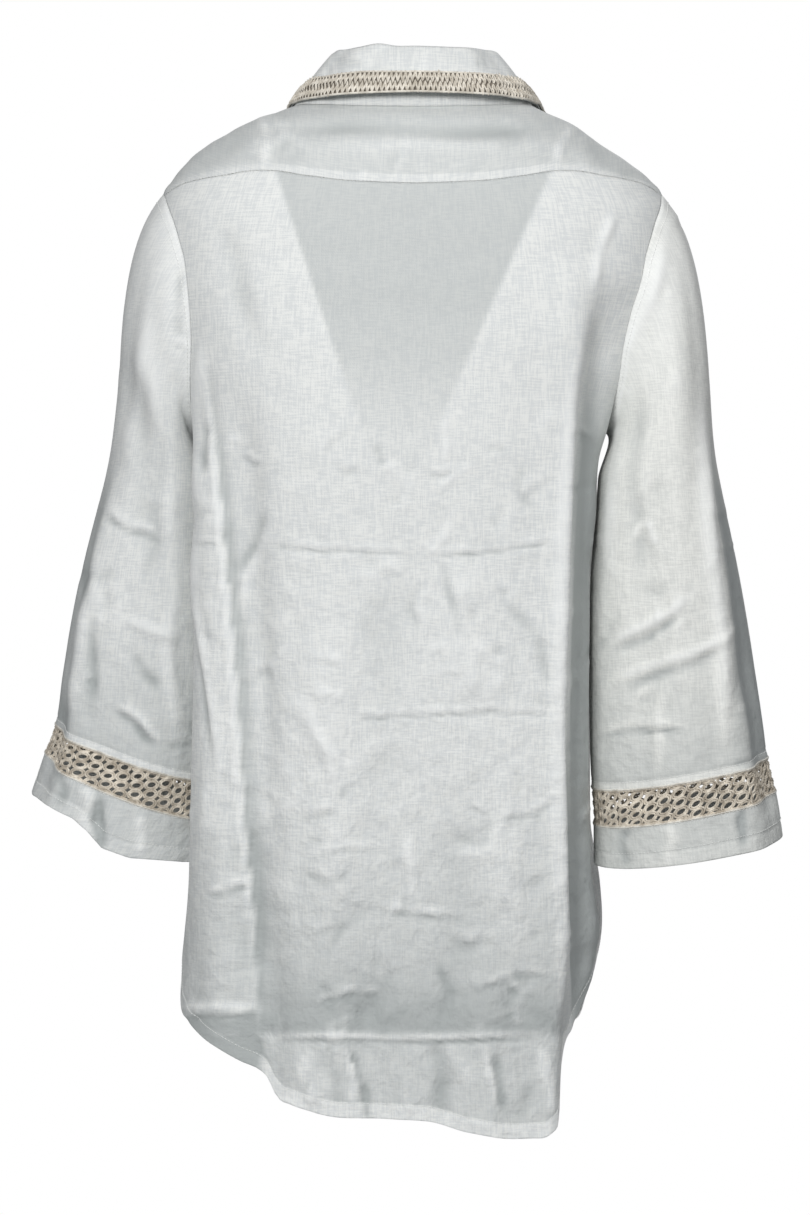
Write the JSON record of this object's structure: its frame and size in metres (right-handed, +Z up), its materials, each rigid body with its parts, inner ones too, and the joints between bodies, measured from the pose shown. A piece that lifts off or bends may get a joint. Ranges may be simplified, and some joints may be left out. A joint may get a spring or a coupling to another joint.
{
  "type": "tunic blouse",
  "caption": "Loose linen tunic blouse with a fold-over collar, V neck, back yoke, wide bell sleeves with openwork insertion and a curved hem longer behind.",
  "frame": {"origin": "between the shoulders at the base of the neck, where the wearer carries the blouse", "axes": "+Z up, +X towards the wearer's right, +Y the way the wearer faces; the picture looks along +Y at the back"},
  "size_m": [0.5838, 0.2577, 0.8277],
  "materials": {
    "linen": "light off-white plain-weave linen, slightly see-through, matt",
    "openwork": "beige and taupe corded openwork lace, matt",
    "braid": "beige and taupe flat braid, matt"
  },
  "bodies": {
    "root": {"back_panel": "linen", "collar_braid": "braid", "collar_fall": "linen", "collar_stand": "linen", "front_panel": "linen", "left_cuff": "linen", "left_openwork_back": "openwork", "left_openwork_front": "openwork", "left_sleeve": "linen", "right_cuff": "linen", "right_openwork_back": "openwork", "right_openwork_front": "openwork", "right_sleeve": "linen", "yoke": "linen"}
  },
  "joints": []
}
